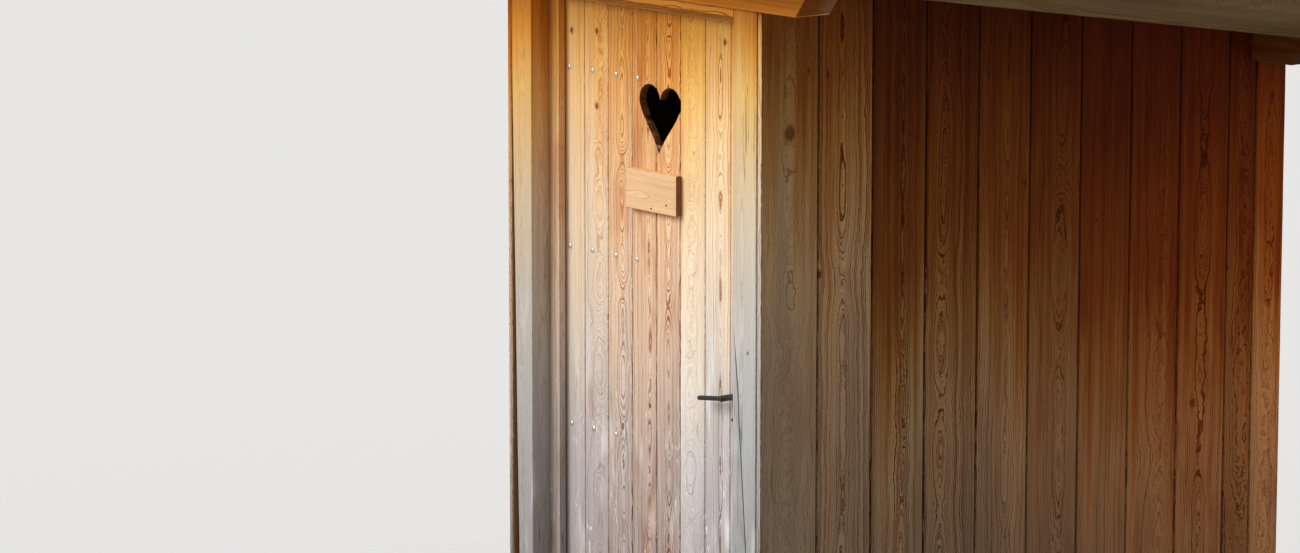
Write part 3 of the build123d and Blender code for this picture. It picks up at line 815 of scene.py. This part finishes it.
def backWall(seed):
    low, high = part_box("wall_back")
    joints = evenJoints(low.x, high.x, walls["backBoards"])
    middleY = (low.y + high.y) / 2
    thick = high.y - low.y - 2 * walls["inset"]
    picks = random.Random(seed)
    boards = []
    for start, end in between(joints, low.x, high.x, walls["gap"]):
        foot = low.z + picks.uniform(0, walls["foot"])
        middle = ((start + end) / 2, middleY, (foot + high.z) / 2)
        size = (end - start, thick, high.z - foot)
        boards.append(newBoard(middle, size, backBoards, tone=walls["backTone"]))
    layBoards("backCladding", "cladding_wood", "cabin", boards, walls["shape"], seed, "wall_back",
              walls["backSpread"])


sideWall("rightCladding", "wall_right", rightBoards, 11, {
    "tone": dict(enumerate(walls["rightTones"])), "knots": walls["rightKnots"],
    "pith": walls["rightPiths"], "rings": walls["rightRings"],
})
sideWall("leftCladding", "wall_left", leftBoards, 37, {})
backWall(61)
print("walls done")

# Door leaf: eight tongued planks with v-joints
leaf = {
    "shape": {"round": 0.0026, "turns": 1, "facets": 5, "tongue": 0.005, "step": 0.09,
              "wane": 0.0003, "wave": 0.0004, "cup": 0.0002},
    "joints": (-0.287, -0.191, -0.094, 0.003, 0.097, 0.194, 0.292), "gap": 0.0012, "inset": 0.0006,
    "thickness": 0.024, "spread": (0.02, 0.01, 0.04),
    "tones": ((0.06, 0, 0), (0.04, 0, 0), (0.0, 0.05, 0), (-0.08, 0.09, -0.06), (0.0, 0.055, -0.04),
              (0.18, -0.03, -0.08), (0.16, -0.03, 0), (0.03, 0, 0)),
    "rings": ((0.0040, 1.6, 0.6), (0.0040, 2.2, 0.7), (0.0036, 3.2, 1.3), (0.0035, 3.2, 1.3),
              (0.0036, 3.2, 1.25), (0.0038, 2.6, 0.5), (0.0034, 3.0, 0.9), (0.0040, 1.6, 0.6)),
    "knots": {0: [(-0.006, 0.854, 0.006)], 1: [(0.003, 0.861, 0.006), (0.002, 0.669, 0.006)],
              6: [(0.027, 0.884, 0.006)]},
    "piths": ((-0.07, 0.03, 0.1), (0.012, 0.034, 0.1), (0.010, 0.015, -0.1), (0.016, 0.013, -0.1),
              (0.002, 0.014, 0.1), (-0.004, 0.04, 0.1), (0.010, 0.011, 0.1), (0.08, 0.03, 0.1)),
}


def doorPlanks():
    low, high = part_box("door_planks")
    middleY = (low.y + high.y) / 2
    middleZ = (low.z + high.z) / 2
    size = (high.y - low.y - 2 * leaf["inset"], high.z - low.z - 2 * leaf["inset"])
    boards = []
    for number, (start, end) in enumerate(between(leaf["joints"], low.x, high.x, leaf["gap"])):
        board = newBoard(((start + end) / 2, middleY, middleZ), (end - start,) + size, frontBoards)
        board["tone"] = leaf["tones"][number]
        board["knots"] = leaf["knots"].get(number, ())
        board["pith"] = leaf["piths"][number]
        board["rings"] = leaf["rings"][number]
        boards.append(board)
    layBoards("doorPlanks", "door_wood", "door", boards, leaf["shape"], 23, "door_planks", leaf["spread"])


doorPlanks()
print("door planks done")

# Floor and roof boards
flooring = {"boards": 14, "gap": 0.0012, "inset": 0.0004,
            "shape": {"round": 0.0012, "turns": 1, "facets": 4, "tongue": 0.005, "step": 0.12,
                      "wane": 0.0003, "wave": 0.0002, "cup": 0.0001}}
roofing = {"boards": 18, "gap": 0.0016, "inset": 0.0005,
           "shape": {"round": 0.0028, "turns": 1, "facets": 4, "tongue": 0.005, "step": 0.14,
                     "wane": 0.0004, "wave": 0.0003, "cup": 0.0001},
           "strips": 9, "stripWidth": 0.120, "layer": 0.022, "coverGap": 0.008,
           "stripTone": (0.05, 0, 0), "coverSpread": (0.12, 0.02, 0.2),
           "coverShape": {"round": 0.003, "turns": 2, "facets": 4, "step": 0.12,
                          "wane": 0.0012, "wave": 0.0004, "cup": 0.0003}}


def floorPlanks():
    low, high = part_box("floor")
    joints = evenJoints(low.y, high.y, flooring["boards"])
    thick = high.z - low.z - 2 * flooring["inset"]
    boards = []
    for start, end in between(joints, low.y, high.y, flooring["gap"]):
        middle = (0, (start + end) / 2, (low.z + high.z) / 2)
        size = (end - start, thick, high.x - low.x + spareLength)
        boards.append(newBoard(middle, size, floorBoards))
    layBoards("floorPlanks", "floor_wood", "cabin", boards, flooring["shape"], 71, "floor")


def roofPlane(node):
    # the solid's reach along the fall and off the roof
    corners = [v.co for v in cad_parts[node].data.vertices]
    falls = [c.dot(downRoof) for c in corners]
    offs = [c.dot(offRoof) for c in corners]
    return min(falls), max(falls), min(offs), max(offs)


def roofPlanks():
    low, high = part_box("roof_boards")
    start, end, under, over = roofPlane("roof_boards")
    joints = evenJoints(start, end, roofing["boards"])
    thick = over - under - 2 * roofing["inset"]
    boards = []
    for near, far in between(joints, start, end, roofing["gap"]):
        middle = downRoof * ((near + far) / 2) + offRoof * ((under + over) / 2)
        boards.append(newBoard(middle, (far - near, thick, high.x - low.x - 0.001), roofCrosswise))
    layBoards("roofPlanks", "framing", "cabin", boards, roofing["shape"], 83, "roof_boards")


def stripMiddles():
    low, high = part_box("roof_cover")
    pitch = (high.x - low.x - roofing["stripWidth"]) / (roofing["strips"] - 1)
    return [low.x + step * pitch + roofing["stripWidth"] / 2 for step in range(roofing["strips"])]


def roofCover():
    # an under layer with open gaps, and a strip over each gap
    low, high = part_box("roof_cover")
    start, end, under, over = roofPlane("roof_cover")
    middles = stripMiddles()
    thick = roofing["layer"] - 2 * roofing["inset"]
    length = end - start + spareLength
    fall = downRoof * ((start + end) / 2)
    boards = []
    for near, far in between(middles[1:-1], low.x, high.x, roofing["coverGap"]):
        middle = fall + right * ((near + far) / 2) + offRoof * (under + roofing["layer"] / 2)
        boards.append(newBoard(middle, (far - near, thick, length), roofLengthwise))
    for x in middles:
        middle = fall + right * x + offRoof * (over - roofing["layer"] / 2)
        size = (roofing["stripWidth"] - 2 * roofing["inset"], thick, length)
        boards.append(newBoard(middle, size, roofLengthwise, tone=roofing["stripTone"]))
    layBoards("roofCover", "roof_wood", "cabin", boards, roofing["coverShape"], 97, "roof_cover",
              roofing["coverSpread"])


floorPlanks()
roofPlanks()
roofCover()
print("floor and roof done")

# Timbers
timberShape = {"round": 0.003, "step": 0.12, "wave": 0.0007, "rings": (0.0044, 1.4, 0.8)}
sawnShape = {"round": 0.0015, "step": 0.25, "wave": 0.0004, "rings": (0.0038, 1.6, 0.8)}


def crackCutter(face, along, across, crack):
    # a narrow wedge that follows the points on a face, closed at both ends
    part = bmesh.new()
    rows = []
    count = len(crack["points"])
    for number, (up, sideways) in enumerate(crack["points"]):
        share = 1 if 0 < number < count - 1 else 0.05
        middle = face["origin"] + along * up + across * sideways
        half = across * (crack["width"] * share / 2)
        root = middle + across * (crack["width"] * 0.15) - face["out"] * crack["depth"] * share
        corners = (middle - half + face["out"] * 0.002, middle + half + face["out"] * 0.002, root)
        rows.append([part.verts.new(corner) for corner in corners])
    for lower, upper in zip(rows[:-1], rows[1:]):
        skin(part, lower, upper)
    part.faces.new(rows[0])
    part.faces.new(rows[-1])
    bmesh.ops.recalc_face_normals(part, faces=part.faces[:])
    return toObject("crack", part)


postCrack = {
    "points": ((1.30, 0.400), (1.20, 0.4105), (1.12, 0.419), (1.03, 0.4245), (0.94, 0.432),
               (0.85, 0.4395), (0.74, 0.4485), (0.62, 0.456), (0.50, 0.461), (0.38, 0.459)),
    "width": 0.0042, "depth": 0.016,
}
frontFace = {"origin": Vector((0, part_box("post_front_right")[0].y, 0)), "out": -inward}
crack = crackCutter(frontFace, upward, right, postCrack)

timbers = (
    ("post_front_left", "post_wood", frontBoards, timberShape, {"tone": (-0.11, 0.01, 0.03)}),
    ("post_front_right", "post_wood", frontBoards, timberShape,
     {"tone": (0.02, -0.03, 0.12), "cutters": (crack,), "knots": ((0.014, 0.136, 0.0035),)}),
    ("post_back_left", "framing", frontBoards, sawnShape, {}),
    ("post_back_right", "framing", frontBoards, sawnShape, {}),
    ("beam_front", "post_wood", frontBeams, timberShape, {"tone": (0.22, -0.01, -0.02)}),
    # the back beam's much darker tone is painted shade
    ("beam_back", "post_wood", frontBeams, timberShape, {"tone": (-0.76, 0.2, 0)}),
    ("jamb_left", "door_wood", frontBoards, sawnShape, {"tone": (-0.1, 0.03, 0)}),
    ("jamb_right", "door_wood", frontBoards, sawnShape, {"tone": (-0.1, 0.03, 0)}),
    ("lintel", "door_wood", frontBeams, sawnShape, {"tone": (-0.05, 0.04, -0.1)}),
    ("threshold", "door_wood", frontBeams, timberShape, {"tone": (-0.1, 0, 0)}),
    ("sill_left", "framing", sideBeams, timberShape, {}),
    ("sill_right", "framing", sideBeams, timberShape, {}),
    ("sill_front", "framing", frontBeams, timberShape, {}),
    ("sill_back", "framing", frontBeams, timberShape, {}),
    ("rail_left", "framing", sideBeams, sawnShape, {}),
    ("rail_right", "framing", sideBeams, sawnShape, {}),
    ("rail_back", "framing", frontBeams, sawnShape, {}),
    ("rafters", "framing", rafterLine, sawnShape, {}),
    ("eave_blocks", "framing", frontBeams, sawnShape, {}),
    ("barge_board_left", "roof_wood", rafterLine, timberShape, {"tone": (0.0, 0.08, 0)}),
    ("barge_board_right", "roof_wood", rafterLine, timberShape, {"tone": (0.0, 0.08, 0)}),
    ("fascia_front", "roof_wood", frontBeams, timberShape, {}),
    ("fascia_back", "roof_wood", frontBeams, timberShape, {}),
)
for number, (node, slot, axes, shape, own) in enumerate(timbers):
    dressTimber(node, slot, "cabin", axes, shape, 100 + number * 7.3, **own)
dressTimber("door_ledges", "framing", "door", ledgeBoards, sawnShape, 301)
dressTimber("door_sign", "sign_wood", "door", frontBeams, timberShape, 311, knots=(noKnot,))
print("timbers done")


# Turned and forged fittings

def lathe(part, profile, place, axis, sides=20):
    # profile: (radius, height) pairs from the seat outwards
    turn = Vector((0, 0, 1)).rotation_difference(axis).to_matrix()
    rings = []
    for radius, height in profile:
        ring = []
        for k in range(sides):
            angle = 2 * pi * k / sides
            spot = Vector((radius * cos(angle), radius * sin(angle), height))
            ring.append(part.verts.new(place + turn @ spot))
        rings.append(ring)
    for lower, upper in zip(rings[:-1], rings[1:]):
        skin(part, lower, upper)
    part.faces.new(list(reversed(rings[0])))
    part.faces.new(rings[-1])


def domeProfile(radius, height, sunk, steps=5):
    rise = [(radius * cos(pi / 2 * k / steps), height * sin(pi / 2 * k / steps)) for k in range(steps)]
    return [(radius * 0.98, -sunk)] + rise + [(radius * 0.08, height)]


bolts = {
    "rows": {"top": (0.0439, 0.1384, 0.2331, 0.3201), "upper": (0.0453, 0.1371, 0.2319, 0.3174),
             "lower": (0.0493, 0.1415, 0.2328), "bottom": (0.0470, 0.1400, 0.2330, 0.3190)},
    "fromPin": -0.3905, "head": (0.0068, 0.0037), "sunk": 0.002, "strap": 0.005,
    "washer": ((0.0085, -0.0008), (0.0085, 0.0012), (0.008, 0.0016)),
    "nut": ((0.0066, 0.0014), (0.0072, 0.0022), (0.0072, 0.0062), (0.0064, 0.007)),
    "stud": ((0.0030, 0.006), (0.0030, 0.0092), (0.0022, 0.0102)),
}


def leafBolts():
    heads = bmesh.new()
    nuts = bmesh.new()
    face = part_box("door_planks")[0].y
    back = face + leaf["thickness"] + bolts["strap"]
    for name, row in bolts["rows"].items():
        low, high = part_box("hinge_strap_" + name)
        level = (low.z + high.z) / 2
        for step in row:
            x = bolts["fromPin"] + step
            head = Vector((x, face, level))
            seat = Vector((x, back, level))
            lathe(heads, domeProfile(*bolts["head"], bolts["sunk"]), head, -inward)
            lathe(nuts, bolts["washer"], seat, inward)
            lathe(nuts, bolts["nut"], seat, inward, 6)
            lathe(nuts, bolts["stud"], seat, inward, 14)
    finishPiece(toObject("boltHeads", heads), "bolt_steel", "door", sharp=40)
    finishPiece(toObject("boltNuts", nuts), "bolt_steel", "door", sharp=25)


def screwsAt(name, body, places, axis, radius, slot="bolt_steel"):
    part = bmesh.new()
    for place in places:
        lathe(part, domeProfile(radius, radius * 0.42, 0.001), Vector(place), axis, 18)
    screws = toObject(name, part)
    slots = bmesh.new()
    for number, place in enumerate(places):
        # one saw cut across each head
        sideways = axis.orthogonal().normalized()
        sideways.rotate(Matrix.Rotation(number * 1.1, 3, axis))
        other = axis.cross(sideways)
        seat = Vector(place) + axis * (radius * 0.2)
        base = [seat + sideways * (sx * radius * 1.3) + other * (sy * radius * 0.13)
                for sx, sy in ((-1, -1), (1, -1), (1, 1), (-1, 1))]
        low = [slots.verts.new(p) for p in base]
        high = [slots.verts.new(p + axis * radius) for p in base]
        slots.faces.new(low)
        slots.faces.new(high)
        skin(slots, low, high)
    bmesh.ops.recalc_face_normals(slots, faces=slots.faces[:])
    shapeWith(screws, toObject("sawCuts", slots), "DIFFERENCE")
    finishPiece(screws, slot, body, sharp=35)


def dressIron(node, body, arris=0.0006):
    # forged iron: the solid's own shape with dressed arrises
    part = weldedCopy(node)
    easeArrises(part, 40, arris)
    finishPiece(toObject(node + "_iron", part), "dark_iron", body, (node,), sharp=35)


sign = {"screws": ((0.0641, 1.5351), (0.0044, 1.5202)), "screw": 0.003}
lock = {"round": 0.001, "fromSide": 0.008, "fromEnd": 0.009, "keepShift": 0.012, "keepEnd": 0.012,
        "screw": 0.0038}
hinge = {"middle": -0.430, "face": -0.807, "centre": 0.055, "across": 0.016, "up": 0.042, "screw": 0.0034}


def signScrews():
    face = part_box("door_sign")[0].y
    places = [(x, face, z) for x, z in sign["screws"]]
    screwsAt("signScrews", "door", places, -inward, sign["screw"], "dark_iron")


def lockAndKeep():
    dressIron("lock_case", "door", lock["round"])
    dressIron("lock_keep", "cabin", lock["round"])
    low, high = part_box("lock_case")
    places = [(x, high.y, z) for x in (low.x + lock["fromSide"], high.x - lock["fromSide"])
              for z in (low.z + lock["fromEnd"], high.z - lock["fromEnd"])]
    screwsAt("lockScrews", "door", places, inward, lock["screw"])
    low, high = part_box("lock_keep")
    places = [((low.x + high.x) / 2 + lock["keepShift"], high.y, z)
              for z in (low.z + lock["keepEnd"], high.z - lock["keepEnd"])]
    screwsAt("keepScrews", "cabin", places, inward, lock["screw"])


def hingeScrews():
    # four in each hinge's plate
    places = []
    for name in bolts["rows"]:
        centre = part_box("hinge_pin_" + name)[0].z + hinge["centre"]
        places += [(hinge["middle"] + side * hinge["across"], hinge["face"], centre + up)
                   for side in (-1, 1) for up in (-hinge["up"], hinge["up"])]
    screwsAt("plateScrews", "cabin", places, inward, hinge["screw"])


leafBolts()
signScrews()
for name in bolts["rows"]:
    dressIron("hinge_strap_" + name, "door")
    dressIron("hinge_pin_" + name, "cabin")
lockAndKeep()
for node in ("lever_outside", "lever_inside"):
    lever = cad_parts[node]
    lever.data.materials.clear()
    lever.data.materials.append(finishes["dark_iron"])
hingeScrews()
print("fittings done")

# Nails in the roof's trim and cover, and in the ledges
nail = {"radius": 0.0042, "height": 0.0009, "sunk": 0.001}
coverNails = {"under": 0.0004, "margin": 0.06, "rows": 6, "aside": 0.036}
bargeNails = {"under": 0.0008, "margin": 0.08, "rows": 7, "foot": 0.1, "head": 0.03}
fasciaNails = {"under": 0.0008, "margin": 0.06, "rows": 8, "foot": 0.03, "head": 0.035}
ledgeNails = {"under": 0.0006, "levels": ((0.035, 0.03), (0.025, 0.025))}


def rowPlaces(low, high, margin, count):
    # evenly spaced places between two ends
    return [low + margin + (high - low - 2 * margin) * k / (count - 1) for k in range(count)]


def nailHeads(name, body, places, axis):
    part = bmesh.new()
    profile = domeProfile(nail["radius"], nail["height"], nail["sunk"], 3)
    for place in places:
        lathe(part, profile, Vector(place), axis, 14)
    finishPiece(toObject(name, part), "dark_iron", body, sharp=60)


def roofNails():
    start, end, under, over = roofPlane("roof_cover")
    face = offRoof * (over - roofing["inset"] - coverNails["under"])
    places = []
    for middle in stripMiddles():
        for fall in rowPlaces(start, end, coverNails["margin"], coverNails["rows"]):
            for side in (-1, 1):
                places.append(downRoof * fall + face + right * (middle + side * coverNails["aside"]))
    nailHeads("coverNails", "cabin", places, offRoof)
    for hand, side in (("Right", 1), ("Left", -1)):
        node = "barge_board_" + hand.lower()
        low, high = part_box(node)
        start, end, under, over = roofPlane(node)
        face = right * ((high.x if side > 0 else low.x) - side * bargeNails["under"])
        places = [downRoof * fall + offRoof * off + face
                  for fall in rowPlaces(start, end, bargeNails["margin"], bargeNails["rows"])
                  for off in (under + bargeNails["foot"], over - bargeNails["head"])]
        nailHeads("bargeNails" + hand, "cabin", places, right * side)


def trimNails():
    # pairs along the fascias, and in each ledge of the leaf
    for end, way in (("Front", -1), ("Back", 1)):
        low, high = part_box("fascia_" + end.lower())
        y = (low.y if way < 0 else high.y) - way * fasciaNails["under"]
        places = [(x, y, z)
                  for x in rowPlaces(low.x, high.x, fasciaNails["margin"], fasciaNails["rows"])
                  for z in (low.z + fasciaNails["foot"], high.z - fasciaNails["head"])]
        nailHeads("fasciaNails" + end, "cabin", places, inward * way)
    low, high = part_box("door_ledges")
    levels = sorted({round(v.co.z, 4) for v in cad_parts["door_ledges"].data.vertices})
    joints = [low.x] + [j for j in leaf["joints"] if low.x < j < high.x] + [high.x]
    columns = [(a + b) / 2 for a, b in zip(joints[:-1], joints[1:])]
    face = high.y - ledgeNails["under"]
    places = []
    for foot, head in zip(levels[::2], levels[1::2]):
        for number, x in enumerate(columns):
            up, down = ledgeNails["levels"][number % 2]
            places += [(x, face, foot + up), (x, face, head - down)]
    nailHeads("ledgeNails", "door", places, inward)


roofNails()
trimNails()
print("nails done")

# Camera, light and floor
view = {"place": (10.521, -9.494, 3.722), "lens": 151.34, "pitch": 9.9, "turn": 50.6}
light = {"sky": 0.42, "sun": 2.75, "height": 35, "side": -22, "spread": 35,
         "floor": (0.45, 0.44, 0.43, 1), "floorSeen": (0.868, 0.862, 0.846, 1),
         "backdrop": (0.80, 0.795, 0.78, 1)}


def addCamera():
    camera = addObject("photoCamera", bpy.data.cameras.new("photoCamera"))
    camera.location = view["place"]
    camera.rotation_euler = (radians(90 - view["pitch"]), 0, radians(view["turn"]))
    camera.data.lens = view["lens"]
    camera.data.clip_end = 200
    bpy.context.scene.camera = camera


def addLights():
    world = bpy.data.worlds.new("studio")
    world.use_nodes = True
    tree = world.node_tree
    tree.nodes.clear()
    sky = addNode(tree, "ShaderNodeBackground", {"Color": (1, 1, 1, 1), "Strength": light["sky"]})
    backdrop = addNode(tree, "ShaderNodeBackground", {"Color": light["backdrop"], "Strength": 1.0})
    mixed = addNode(tree, "ShaderNodeMixShader",
                    {0: seenDirectly(tree), 1: sky.outputs[0], 2: backdrop.outputs[0]})
    addNode(tree, "ShaderNodeOutputWorld", {"Surface": mixed.outputs[0]})
    bpy.context.scene.world = world
    sun = addObject("sun", bpy.data.lights.new("sun", "SUN"))
    sun.data.energy = light["sun"]
    sun.data.angle = radians(light["spread"])
    sun.rotation_euler = (radians(90 - light["height"]), 0, radians(light["side"]))


def addFloor():
    mesh = bpy.data.meshes.new("studioFloor")
    mesh.from_pydata([(-60, -60, 0), (60, -60, 0), (60, 60, 0), (-60, 60, 0)], [], [(0, 1, 2, 3)])
    floor = addObject("studioFloor", mesh)
    material, tree = newMaterial("paleFloor")
    color = tinted(tree, seenDirectly(tree), light["floor"], light["floorSeen"])
    surface = addNode(tree, "ShaderNodeBsdfDiffuse", {"Color": color})
    addNode(tree, "ShaderNodeOutputMaterial", {"Surface": surface.outputs[0]})
    mesh.materials.append(material)


addCamera()
addLights()
addFloor()
bpy.context.scene.view_settings.view_transform = 'Standard'
print("studio done")
